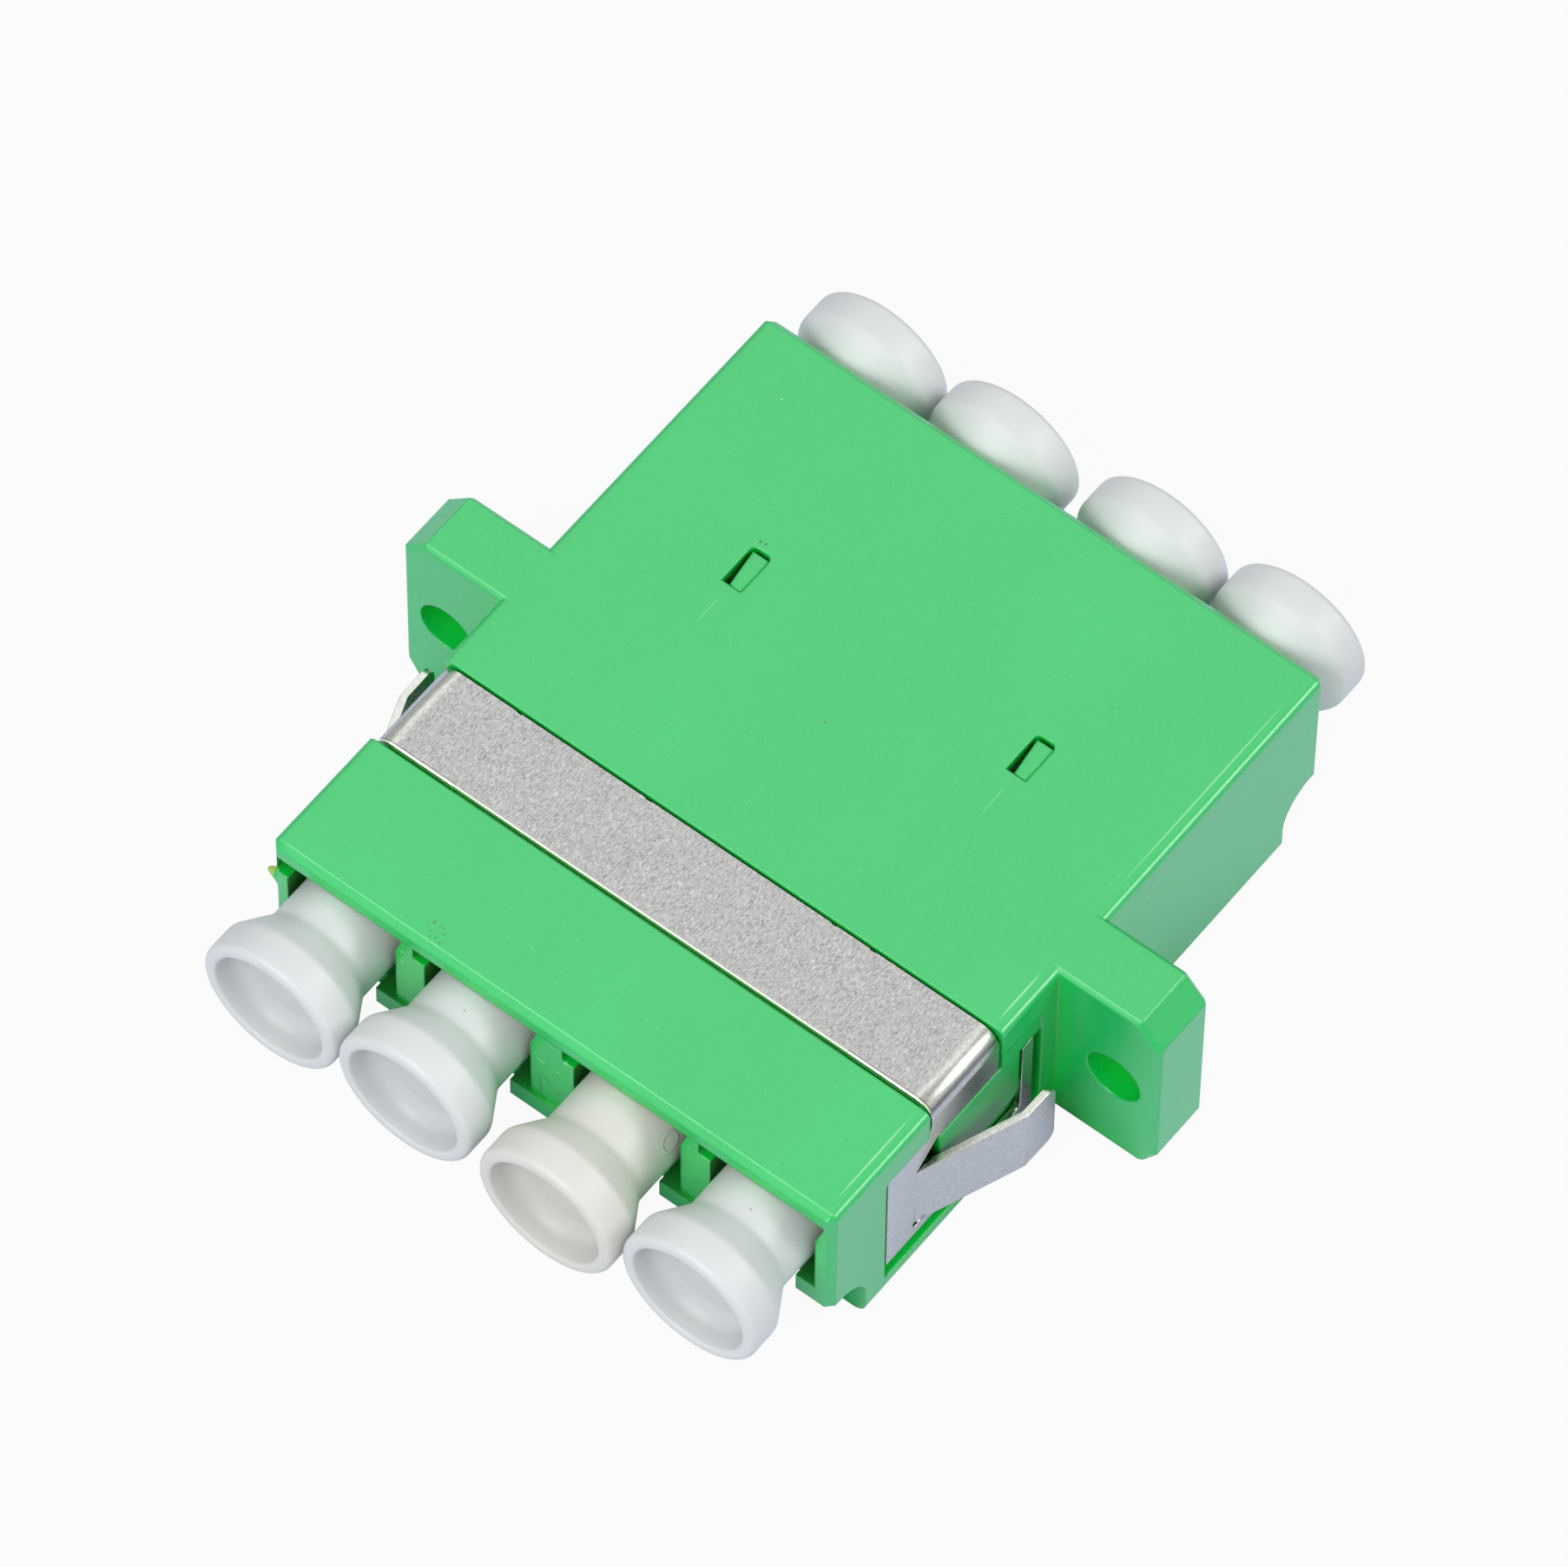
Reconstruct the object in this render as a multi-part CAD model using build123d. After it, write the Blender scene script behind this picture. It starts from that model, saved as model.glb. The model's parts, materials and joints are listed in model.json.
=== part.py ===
from build123d import *
import os

# Panel adapter for eight fibre plugs, four on each side, with its dust caps in.
# Millimetres. X runs across the four ports, Y from the clip end to the far end,
# Z up. The part lies on the wall that carries its latch channels.

# body
side_wall = 0.75
body_length = 29.3
body_height = 9.4
low_edge_round = 0.6
top_edge_round = 0.3
top_edge_band = (0.5, 0.06)
end_edge_chamfer = 0.3

# ears
ear_overall = 35.0
ear_thickness = 2.9
ear_setback = 13.3
ear_top_cut = (1.0, 1.05)
ear_bottom_cut = (0.6, 1.0)
ear_edge_chamfer = 0.18
ear_root = 1.5
hole_spacing = 31.0
hole_diameter = 2.4
nib_setback = 0.45
nib_depth = 2.85
nib_half_width = 0.42
nib_half_height = 0.5
nib_length = 0.4
nib_tip_share = 0.2

# ports
pair_pitch = 6.25
middle_pitch = 6.9
port_width = 4.9
port_height = 4.54
port_axis_depth = 3.1
side_recess_width = 0.53
side_recess_height = 1.05
side_recess_round = 0.15
corner_slope = (0.4, 1.3)
recess_length = 3.0
divider_setback = 0.15

# latch side
catch_reach = 0.85
catch_height = 0.95
catch_length = 2.0
lip_length = 2.1
lip_round = (1.4, 1.9)
channel_floor_wall = 0.8
channel_length = 8.0

# holders, split at the middle of the body
holder_plate = 2.25
barrel_diameter = 2.5
barrel_length = 2.8
barrel_lip_bore = 1.36
seat_clearance = 0.05

# alignment sleeves
sleeve_outer = 1.62
sleeve_inner = 1.25
sleeve_length = 6.6
sleeve_slit = 0.25
sleeve_clearance = 0.06

# top windows and the hooks in them
window_width = 0.92
window_length = 1.92
window_setback = 18.95
window_round = 0.28
hook_depth = 0.07
hook_front_gap = 0.06
hook_rear_gap = 0.17
hook_right_gap = 0.03
hook_left_gap = (0.34, 0.12)

# clip
sheet = 0.3
clip_inset = 0.08
clip_clearance = 0.04
fold_radius = 0.8
strip_front = 5.95
strip_width = 3.97
strip_step = 0.03
strip_step_ends = (-9.15, 8.93)
strip_bevel = (0.1, 0.1)
groove_front_gap = 0.22
groove_rear_gap = 0.1
plate_front = 3.4
plate_rear = 12.0
plate_top = 1.75
plate_bottom = 7.75
plate_fillet = 0.5
pocket_front_gap = 0.2
pocket_rear_gap = 0.4
pocket_top_gap = 0.1
pocket_bottom_gap = 0.65
frame_window_front = 5.12
frame_window_rear = 11.35
frame_window_top = 2.45
rear_bar_top = 3.0
tongue_top = 3.4
tongue_height = 3.5
tongue_slit = 0.2
slit_end_notch = (0.36, 0.16)
tongue_bend = 9.45
tongue_tip = 11.1
tongue_reach = 1.7
tongue_tip_round = 0.45
boss_bottom = 5.8
boss_gap = 0.18
boss_front_gap = 1.3

# dust caps
cap_stem_clearance = 0.05
cap_stem_length = 9.0
cap_flare_length = 1.4
cap_head_length = 2.8
cap_rim_diameter = 6.1
cap_dish_diameter = 5.0
cap_dish_depth = 1.25
cap_bore_diameter = 3.0
cap_bore_wall = 0.5
front_cap_necks = (1.4, 1.4, 1.9, 1.5)
rear_cap_necks = (0.2, 0.1, 0.15, 0.2)

# derived
body_width = middle_pitch + 2 * pair_pitch + port_width + 2 * side_wall
half_width = body_width / 2
half_length = body_length / 2
pair_centre = middle_pitch / 2 + pair_pitch / 2
port_centres = [-pair_centre - pair_pitch / 2, -pair_centre + pair_pitch / 2,
                pair_centre - pair_pitch / 2, pair_centre + pair_pitch / 2]
port_top = port_axis_depth - port_height / 2
port_bottom = port_axis_depth + port_height / 2
lip_bottom = port_bottom + catch_height
channel_bottom = body_height - channel_floor_wall
groove_depth = clip_inset + sheet + clip_clearance
strip_rear = strip_front + strip_width
groove_front = strip_front - groove_front_gap
groove_rear = strip_rear + groove_rear_gap
pocket_front = plate_front - pocket_front_gap
pocket_rear = plate_rear + pocket_rear_gap
pocket_top = plate_top - pocket_top_gap
pocket_bottom = plate_bottom + pocket_bottom_gap
frame_window_bottom = tongue_top + tongue_height + tongue_slit
slot_half = port_width / 2 - catch_reach
divider_width = pair_pitch - port_width


def along(setback):
    """Y of a point that lies the given distance behind the clip end."""
    return setback - half_length


def down(depth):
    """Z of a point that lies the given depth below the top face."""
    return body_height - depth


def block(x0, x1, s0, s1, d0, d1):
    """Box between two X values, two setbacks and two depths."""
    size = (x1 - x0, s1 - s0, d1 - d0)
    middle = ((x0 + x1) / 2, along((s0 + s1) / 2), down((d0 + d1) / 2))
    return Pos(*middle) * Box(*size)


def side_prism(points, x0, x1, fillet_at=(), radius=0.0):
    """Prism along X from an outline of (setback, depth) points."""
    outline = Polyline(*[(along(s), down(d)) for s, d in points], close=True)
    face = make_face(outline)
    if radius > 0:
        corners = [face.vertices().sort_by_distance(Vector(along(s), down(d), 0))[0] for s, d in fillet_at]
        face = fillet(corners, radius)
    plane = Plane(origin=(x0, 0, 0), x_dir=(0, 1, 0), z_dir=(1, 0, 0))
    return extrude(plane * face, amount=x1 - x0)


def top_prism(points, d0, d1, radius=0.0, corners=()):
    """Prism along Z from an outline of (x, setback) points between two depths."""
    face = make_face(Polyline(*[(x, along(s)) for x, s in points], close=True))
    if radius > 0:
        picked = [face.vertices().sort_by_distance(Vector(x, along(s), 0))[0] for x, s in corners]
        face = fillet(picked, radius)
    return extrude(Pos(0, 0, down(d1)) * face, amount=d1 - d0)


def axis_round(radius, s0, s1, x, depth=port_axis_depth):
    """Cylinder along Y on a port's axis between two setbacks."""
    plane = Plane(origin=(x, along(s0), down(depth)), x_dir=(1, 0, 0), z_dir=(0, 1, 0))
    return extrude(plane * Circle(radius), amount=s1 - s0)


def mirror_ends(shape):
    """The same shape at the far end."""
    return mirror(shape, about=Plane.XZ)


# housing

def body_blank():
    """Long block with round lower edges and a shallow band along each upper edge."""
    band, drop = top_edge_band
    shoulder = body_height - drop
    points = [(-half_width, 0), (half_width, 0), (half_width, shoulder), (half_width - band, body_height),
              (band - half_width, body_height), (-half_width, shoulder)]
    face = make_face(Polyline(*points, close=True))
    corners = face.vertices()
    face = fillet([v for v in corners if v.Y < drop], low_edge_round)
    face = fillet([v for v in face.vertices() if abs(v.Y - shoulder) < drop / 2], top_edge_round)
    plane = Plane(origin=(0, half_length, 0), x_dir=(1, 0, 0), z_dir=(0, -1, 0))
    blank = extrude(plane * face, amount=body_length)
    ends = blank.faces().sort_by(Axis.Y)
    return chamfer(ends[0].edges() + ends[-1].edges(), end_edge_chamfer)


def ear(side):
    outer = ear_overall / 2
    inner = half_width - ear_root
    top_x, top_z = ear_top_cut
    low_x, low_z = ear_bottom_cut
    points = [(inner, 0), (outer - low_x, 0), (outer, low_z), (outer, body_height - top_z),
              (outer - top_x, body_height), (inner, body_height)]
    face = make_face(Polyline(*[(side * x, z) for x, z in points], close=True))
    start = along(ear_setback + ear_thickness)
    plane = Plane(origin=(0, start, 0), x_dir=(1, 0, 0), z_dir=(0, -1, 0))
    solid = extrude(plane * face, amount=ear_thickness)
    faces = solid.faces().sort_by(Axis.Y)
    rims = faces[0].edges() + faces[-1].edges()
    rims = [e for e in rims if abs(e.center().X) > inner + 0.1]
    solid = chamfer(rims, ear_edge_chamfer)
    hole = axis_round(hole_diameter / 2, ear_setback - 1, ear_setback + ear_thickness + 1,
                      side * hole_spacing / 2, body_height / 2)
    return solid - hole


def lip_cut():
    """The step under the mouth at the clip end, with its hollow curve."""
    start = Vector(along(-1), down(lip_bottom))
    bend = Vector(along(lip_length - lip_round[0]), down(lip_bottom))
    foot = Vector(along(lip_length), down(lip_bottom + lip_round[1]))
    middle = Vector(along(lip_length - lip_round[0] * 0.293), down(lip_bottom + lip_round[1] * 0.293))
    low = Vector(along(lip_length), -1)
    edges = [Line(start, bend), ThreePointArc(bend, middle, foot), Line(foot, low),
             Line(low, Vector(along(-1), -1)), Line(Vector(along(-1), -1), start)]
    plane = Plane(origin=(-half_width - 1, 0, 0), x_dir=(0, 1, 0), z_dir=(1, 0, 0))
    return extrude(plane * make_face(edges), amount=body_width + 2)


def port_mouth(x, reach):
    """Square port hole with the hollows beside its mouth, its latch slot and its channel."""
    half = port_width / 2
    hole = block(x - half, x + half, -1, reach, port_top, port_bottom)
    slot = block(x - slot_half, x + slot_half, -1, catch_length + 0.5, port_axis_depth, lip_bottom + 1)
    channel = block(x - half, x + half, catch_length, channel_length, port_axis_depth, channel_bottom)
    return hole + mouth_hollows(x) + slot + channel


def mouth_hollows(x):
    """Square recess at one upper corner of a port's mouth and sloping one at the other."""
    half = port_width / 2
    step, fall = corner_slope
    low = port_top + side_recess_height
    outer = x - half - side_recess_width
    points = [(outer, port_top), (x + half + step, port_top), (x + half, port_top + fall),
              (x, port_top + fall), (x, low), (outer, low)]
    face = make_face(Polyline(*[(px, down(d)) for px, d in points], close=True))
    corner = face.vertices().sort_by_distance(Vector(outer, down(low), 0))[0]
    face = fillet(corner, side_recess_round)
    plane = Plane(origin=(0, along(recess_length), 0), x_dir=(1, 0, 0), z_dir=(0, -1, 0))
    return extrude(plane * face, amount=recess_length + 1)


def divider_fronts():
    """Shallow cut that sets the walls between the ports back from the roof and the lip."""
    reach = port_centres[-1]
    return block(-reach, reach, -1, divider_setback, port_top, port_bottom)


def chamber(side):
    """Hollow for one duplex insert, open at the far end, with its wall catches left in."""
    x = side * pair_centre
    half = pair_pitch / 2 + port_width / 2
    stop = half_length - holder_plate
    room = block(x - half, x + half, stop, body_length + 1, port_top, channel_bottom)
    catches = [block(x - half, x - half + catch_reach, body_length - catch_length, body_length + 2,
                     port_bottom, lip_bottom),
               block(x + half - catch_reach, x + half, body_length - catch_length, body_length + 2,
                     port_bottom, lip_bottom)]
    return room - catches


def hook_window(side):
    x = side * pair_centre
    half = window_width / 2
    s0 = window_setback
    s1 = window_setback + window_length
    points = [(x - half, s0), (x + half, s0), (x + half, s1), (x - half, s1)]
    return top_prism(points, -1, port_top + 0.5, window_round, [(x - half, s1), (x + half, s1)])


def clip_groove():
    """Channel across the top and both upper edges for the clip's strip."""
    core_width = body_width - 2 * groove_depth
    outer = Pos(0, body_height) * Rectangle(body_width + 4, 2 * pocket_top + 0.4)
    core = Pos(0, -groove_depth) * RectangleRounded(core_width, 2 * body_height,
                                                    fold_radius - sheet - clip_clearance)
    ring = outer - core
    plane = Plane(origin=(0, along(groove_rear), 0), x_dir=(1, 0, 0), z_dir=(0, -1, 0))
    return extrude(plane * ring, amount=groove_rear - groove_front)


def side_pocket(side):
    """Shallow pocket for the clip's side plate, with the boss left standing in its window."""
    x0 = half_width - groove_depth
    points = [(pocket_front, pocket_top), (pocket_rear, pocket_top),
              (pocket_rear, pocket_bottom), (pocket_front, pocket_bottom)]
    pocket = side_prism(points, x0, half_width + 1, points, 0.25)
    rear = frame_window_rear - boss_gap
    front = frame_window_front + boss_front_gap
    top = frame_window_top + boss_gap
    corner = (rear, boss_bottom)
    boss_points = [(front, top), (strip_rear + boss_gap, top), (strip_rear + boss_gap, pocket_top - 0.1),
                   (pocket_rear + 0.1, pocket_top - 0.1), (pocket_rear + 0.1, rear_bar_top - boss_gap),
                   (rear, rear_bar_top - boss_gap), corner, (front, boss_bottom)]
    boss = side_prism(boss_points, x0 - 0.1, half_width - clip_inset, [corner], 0.5)
    cut = pocket - boss
    return cut if side > 0 else mirror(cut, about=Plane.YZ)


def moulding_nib():
    """Small torn moulding tip left on the corner beside the first port."""
    wide, high = nib_half_width, nib_half_height
    points = [(-wide, 0), (0, high), (wide, 0.4 * high), (0.7 * wide, -0.8 * high), (-0.4 * wide, -high)]
    base = Plane(origin=(end_edge_chamfer - half_width, along(nib_setback), down(nib_depth)),
                 x_dir=(0, 1, 0), z_dir=(-1, 0, 0))
    root = make_face(Polyline(*points, close=True))
    tip = Pos(-0.3 * wide, -0.3 * high, nib_length + end_edge_chamfer) * scale(root, by=nib_tip_share)
    return loft([base * root, base * tip], ruled=True)


def housing():
    shape = body_blank() + ear(1) + ear(-1)
    shape -= lip_cut()
    shape -= mirror_ends(lip_cut())
    stop = half_length - holder_plate
    for x in port_centres:
        shape -= port_mouth(x, stop + 0.5)
    shape -= divider_fronts()
    for side in (-1, 1):
        shape -= chamber(side)
        shape -= hook_window(side)
        shape -= side_pocket(side)
    shape -= clip_groove()
    return shape + moulding_nib()


# duplex holders

def holder_block(side):
    """One plate with two barrels towards the clip end, before its bores are cut."""
    x = side * pair_centre
    half = pair_pitch / 2 + port_width / 2 - seat_clearance
    front = half_length - holder_plate
    plate = block(x - half, x + half, front, half_length, port_top + seat_clearance,
                  channel_bottom - seat_clearance)
    notch_top = port_bottom - 0.1
    notch_low = lip_bottom + 0.1
    notches = [block(x - half - 1, x - half + catch_reach + 0.1, front - 1, half_length + 1, notch_top, notch_low),
               block(x + half - catch_reach - 0.1, x + half + 1, front - 1, half_length + 1, notch_top, notch_low)]
    plate -= notches
    for step in (-0.5, 0.5):
        plate += axis_round(barrel_diameter / 2, front - barrel_length, front + 0.2, x + step * pair_pitch)
    return plate


def holder_bores(side):
    """Sleeve seat and plug bore through both barrels of one holder."""
    x = side * pair_centre
    front = half_length - holder_plate - barrel_length
    seat_from = half_length - sleeve_length / 2 - sleeve_clearance
    bores = []
    for step in (-0.5, 0.5):
        port = x + step * pair_pitch
        bores.append(axis_round(sleeve_outer / 2 + sleeve_clearance, seat_from, half_length + 1, port))
        bores.append(axis_round(barrel_lip_bore / 2, front - 1, seat_from + 0.1, port))
    return bores


def front_holder(side):
    return holder_block(side) - holder_bores(side)


def rear_insert(side):
    """The far holder with the divider, its latch catches and the hook in the top window."""
    x = side * pair_centre
    shape = mirror_ends(front_holder(side))
    half = divider_width / 2
    inner = half_length + holder_plate
    wall = block(x - half, x + half, inner - 0.1, body_length, port_top + seat_clearance,
                 channel_bottom - seat_clearance)
    feet = block(x - half - catch_reach, x + half + catch_reach, body_length - catch_length, body_length,
                 port_bottom, lip_bottom)
    back = block(x - pair_pitch / 2 - port_width / 2 + seat_clearance,
                 x + pair_pitch / 2 + port_width / 2 - seat_clearance, inner - 0.1,
                 body_length - channel_length, lip_bottom + 0.3, channel_bottom - seat_clearance)
    shape = shape + wall + feet + back
    shape -= mirror_ends(lip_cut())
    return shape + window_hook(x)


def window_hook(x):
    """Catch of an insert that fills most of its window, nearly flush with the top face."""
    left = x - window_width / 2
    right = x + window_width / 2 - hook_right_gap
    front = window_setback + hook_front_gap
    rear = window_setback + window_length - hook_rear_gap
    front_gap, rear_gap = hook_left_gap
    points = [(left + front_gap, front), (right, front), (right, rear), (left + rear_gap, rear)]
    return top_prism(points, hook_depth, port_top + seat_clearance + 0.3)


def split_sleeve(x):
    start = half_length - sleeve_length / 2
    tube = axis_round(sleeve_outer / 2, start, start + sleeve_length, x)
    tube -= axis_round(sleeve_inner / 2, start - 1, start + sleeve_length + 1, x)
    slit = block(x - sleeve_slit / 2, x + sleeve_slit / 2, start - 1, start + sleeve_length + 1,
                 port_axis_depth - sleeve_outer, port_axis_depth)
    return tube - slit


# spring clip

def clip_sheet():
    """Strip, both folds and both side plates as one folded sheet, before trimming."""
    width = body_width - 2 * clip_inset
    outer = Pos(0, body_height - clip_inset - 10) * RectangleRounded(width, 20, fold_radius)
    inner = Pos(0, body_height - clip_inset - sheet - 10) * RectangleRounded(width - 2 * sheet, 20,
                                                                            fold_radius - sheet)
    keep = Pos(0, down(plate_bottom) + 10) * Rectangle(body_width + 4, 20)
    ring = (outer - inner) & keep
    plane = Plane(origin=(0, along(plate_rear), 0), x_dir=(1, 0, 0), z_dir=(0, -1, 0))
    return extrude(plane * ring, amount=plate_rear - plate_front)


def clip_trim():
    """Everything cut from the folded sheet, seen from the side."""
    reach = half_width + 2
    near = [(plate_front - 1, -1), (strip_front, -1), (strip_front, plate_top),
            (plate_front + 0.15, plate_top), (plate_front, plate_top + 0.35), (plate_front - 1, plate_top + 0.35)]
    far = [(strip_rear, -1), (plate_rear + 1, -1), (plate_rear + 1, rear_bar_top - 0.15),
           (plate_rear, rear_bar_top - 0.15), (frame_window_rear, rear_bar_top), (frame_window_rear - 0.3, rear_bar_top),
           (frame_window_rear - 0.3, frame_window_top + 0.3), (strip_rear, frame_window_top + 0.3)]
    lead = frame_window_front + 1.15
    notch_run, notch_drop = slit_end_notch
    notch_rear = frame_window_front + notch_run
    window = [(frame_window_front, tongue_top), (lead, frame_window_top), (frame_window_rear, frame_window_top),
              (frame_window_rear, frame_window_bottom), (notch_rear, frame_window_bottom),
              (notch_rear - 0.5 * notch_run, frame_window_bottom + notch_drop),
              (frame_window_front - 0.2 * notch_run, frame_window_bottom + notch_drop),
              (frame_window_front - 0.4 * notch_run, frame_window_bottom)]
    low_rear = [(frame_window_rear, frame_window_bottom)]
    return [side_prism(near, -reach, reach, [(strip_front, plate_top)], plate_fillet),
            side_prism(far, -reach, reach),
            side_prism(window, -reach, reach, low_rear, 0.4)]


def strip_marks():
    """Stepped, bevelled front edge of the strip and the nicks along its rear edge."""
    left, right = strip_step_ends
    run, drop = strip_bevel
    edge = strip_front + strip_step
    bevel = [(edge - 1, -1), (edge + run, -1), (edge + run, clip_inset), (edge, clip_inset + drop),
             (edge, 1), (edge - 1, 1)]
    marks = [side_prism(bevel, left, right)]
    for x in (-9.26, -3.26, 5.27, 7.05):
        marks.append(block(x - 0.12, x + 0.12, strip_rear - 0.1, strip_rear + 1, -1, 1))
    return marks


def tongue(side):
    """Spring tongue that leaves the plate, leans out and runs on straight to its tip."""
    outer = half_width - clip_inset
    inner = outer - sheet
    reach = tongue_reach
    root = frame_window_front
    lean = reach / (tongue_bend - root)
    slip = sheet * lean / 2
    points = [(inner, root - 0.5), (outer, root - 0.5), (outer, root - slip), (outer + reach, tongue_bend - slip),
              (outer + reach + 0.03, tongue_tip), (inner + reach + 0.03, tongue_tip),
              (inner + reach, tongue_bend + slip), (inner, root + slip)]
    soft = [points[2], points[3], points[6], points[7]]
    solid = top_prism(points, tongue_top, tongue_top + tongue_height, 0.25, soft)
    tip_low = down(tongue_top + tongue_height)
    tip_high = down(tongue_top)
    ends = [e for e in solid.edges().filter_by(Axis.X, tolerance=10) if e.center().Y > along(tongue_tip) - 0.02]
    ends = [e for e in ends if min(abs(e.center().Z - tip_low), abs(e.center().Z - tip_high)) < 0.01]
    solid = fillet(ends, tongue_tip_round)
    return solid if side > 0 else mirror(solid, about=Plane.YZ)


def spring_clip():
    shape = clip_sheet() - clip_trim() - strip_marks()
    return shape + tongue(1) + tongue(-1)


# dust caps

def dust_cap(x, neck):
    """Turned cap: hollow stem in the port, flare, rim and open dish. Its neck shows outside the clip end."""
    stem = port_height / 2 - cap_stem_clearance
    rim = cap_rim_diameter / 2
    dish = cap_dish_diameter / 2
    bore = cap_bore_diameter / 2
    out = -cap_head_length
    floor = out + cap_dish_depth
    profile = [(0, floor), (dish, floor), (dish, out), (rim, out), (rim, -cap_flare_length), (stem, 0),
               (stem, cap_stem_length), (bore, cap_stem_length), (bore, cap_bore_wall), (0, cap_bore_wall)]
    face = make_face(Polyline(*profile, close=True))
    solid = revolve(Plane.XY * face, axis=Axis.Y, revolution_arc=360)
    return Pos(x, along(-neck), down(port_axis_depth)) * solid


def rear_dust_cap(x, neck):
    return mirror_ends(dust_cap(x, neck))


os.makedirs("parts", exist_ok=True)
export_step(housing(), "parts/housing.step")
export_step(spring_clip(), "parts/spring_clip.step")
for name, side in (("left", -1), ("right", 1)):
    export_step(front_holder(side), "parts/front_holder_" + name + ".step")
    export_step(rear_insert(side), "parts/rear_insert_" + name + ".step")
for number, x in enumerate(port_centres, 1):
    export_step(split_sleeve(x), "parts/split_sleeve_" + str(number) + ".step")
    export_step(dust_cap(x, front_cap_necks[number - 1]), "parts/front_cap_" + str(number) + ".step")
    export_step(rear_dust_cap(x, rear_cap_necks[number - 1]), "parts/rear_cap_" + str(number) + ".step")
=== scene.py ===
import bmesh
import bpy
import json
import math
from mathutils import Matrix, Vector


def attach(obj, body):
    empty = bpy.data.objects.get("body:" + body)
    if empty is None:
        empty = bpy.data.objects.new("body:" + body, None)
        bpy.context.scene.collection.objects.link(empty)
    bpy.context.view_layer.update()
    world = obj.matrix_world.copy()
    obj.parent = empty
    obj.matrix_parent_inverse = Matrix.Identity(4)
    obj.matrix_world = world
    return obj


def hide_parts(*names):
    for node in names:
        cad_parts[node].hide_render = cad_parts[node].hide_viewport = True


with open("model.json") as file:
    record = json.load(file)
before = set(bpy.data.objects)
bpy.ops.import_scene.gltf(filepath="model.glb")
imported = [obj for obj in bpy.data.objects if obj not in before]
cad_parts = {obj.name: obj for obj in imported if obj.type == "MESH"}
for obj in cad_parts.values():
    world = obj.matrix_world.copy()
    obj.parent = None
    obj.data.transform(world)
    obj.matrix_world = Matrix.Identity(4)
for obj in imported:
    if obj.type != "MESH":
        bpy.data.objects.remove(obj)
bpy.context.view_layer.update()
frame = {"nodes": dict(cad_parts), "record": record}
cadNodes = frame["nodes"]
bodyOf = {node: body for body, nodes in frame["record"]["behaviour"]["bodies"].items() for node in nodes}
mm = 0.001
print("frame loaded:", len(cadNodes), "pieces from the model")


# small helpers for shader trees

def startMaterial(name):
    material = bpy.data.materials.new(name)
    material.use_nodes = True
    tree = material.node_tree
    tree.nodes.clear()
    output = tree.nodes.new("ShaderNodeOutputMaterial")
    shader = tree.nodes.new("ShaderNodeBsdfPrincipled")
    tree.links.new(shader.outputs["BSDF"], output.inputs["Surface"])
    return material, tree, shader


def put(tree, kind, inputs=None, **settings):
    node = tree.nodes.new(kind)
    for key, value in settings.items():
        setattr(node, key, value)
    for key, value in (inputs or {}).items():
        if isinstance(value, bpy.types.NodeSocket):
            tree.links.new(value, node.inputs[key])
        else:
            node.inputs[key].default_value = value
    return node


def math2(tree, operation, a, b=0.0):
    return put(tree, "ShaderNodeMath", {0: a, 1: b}, operation=operation).outputs[0]


def stretchedNoise(tree, place, stretch, detail=2.0, roughness=0.5, distortion=0.0):
    # noise with its own scale along X, Y and Z, in features per metre
    mapped = put(tree, "ShaderNodeMapping", {"Vector": place, "Scale": stretch})
    return put(tree, "ShaderNodeTexNoise", {
        "Vector": mapped.outputs[0], "Scale": 1.0, "Detail": detail,
        "Roughness": roughness, "Distortion": distortion}).outputs["Fac"]


def between(tree, value, low, high):
    # 0 under low, 1 over high, or the other way round when low is the larger
    return put(tree, "ShaderNodeMapRange", {"Value": value, "From Min": low, "From Max": high},
               interpolation_type="SMOOTHSTEP").outputs["Result"]


def fromTo(tree, value, low, high):
    # low where the value is 0, high where it is 1
    return put(tree, "ShaderNodeMapRange", {"Value": value, "To Min": low, "To Max": high}).outputs["Result"]


def blendColour(tree, factor, first, second):
    mix = put(tree, "ShaderNodeMix", data_type="RGBA")
    for key, value in ((0, factor), (6, first), (7, second)):
        if isinstance(value, bpy.types.NodeSocket):
            tree.links.new(value, mix.inputs[key])
        else:
            mix.inputs[key].default_value = value
    return mix.outputs[2]


def spot(tree, place, middle, half, along=(1, 0, 0), core=0.6):
    # 1 inside a small stretched blob and 0 outside, with its middle and half sizes in mm
    turn = Vector(along).to_track_quat("X", "Z").to_euler()
    local = put(tree, "ShaderNodeMapping", {
        "Vector": place, "Location": [v * mm for v in middle], "Rotation": turn,
        "Scale": [v * mm for v in half]}, vector_type="TEXTURE")
    reach = put(tree, "ShaderNodeVectorMath", {0: local.outputs[0]}, operation="LENGTH").outputs["Value"]
    return between(tree, reach, 1.0, core)


def spots(tree, place, marks):
    # the strongest of several marks, each (middle, half sizes, direction)
    total = None
    for middle, half, along in marks:
        one = spot(tree, place, middle, half, along)
        total = one if total is None else math2(tree, "MAXIMUM", total, one)
    return total


def line(start, end, width):
    # a thin mark from one point to another, in mm
    a, b = Vector(start), Vector(end)
    return (a + b) / 2, ((b - a).length / 2, width, width), (b - a)


def dot(middle, half):
    # a small mark that lies along the axes, in mm
    return middle, half, (1, 0, 0)


# pieces of the model, as they are or with their flat faces joined and their edges rounded

edgeFinish = {"mergeReach": 0.0005 * mm, "flatAngle": 0.5, "sharpAngle": 28, "segments": 2}


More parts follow.
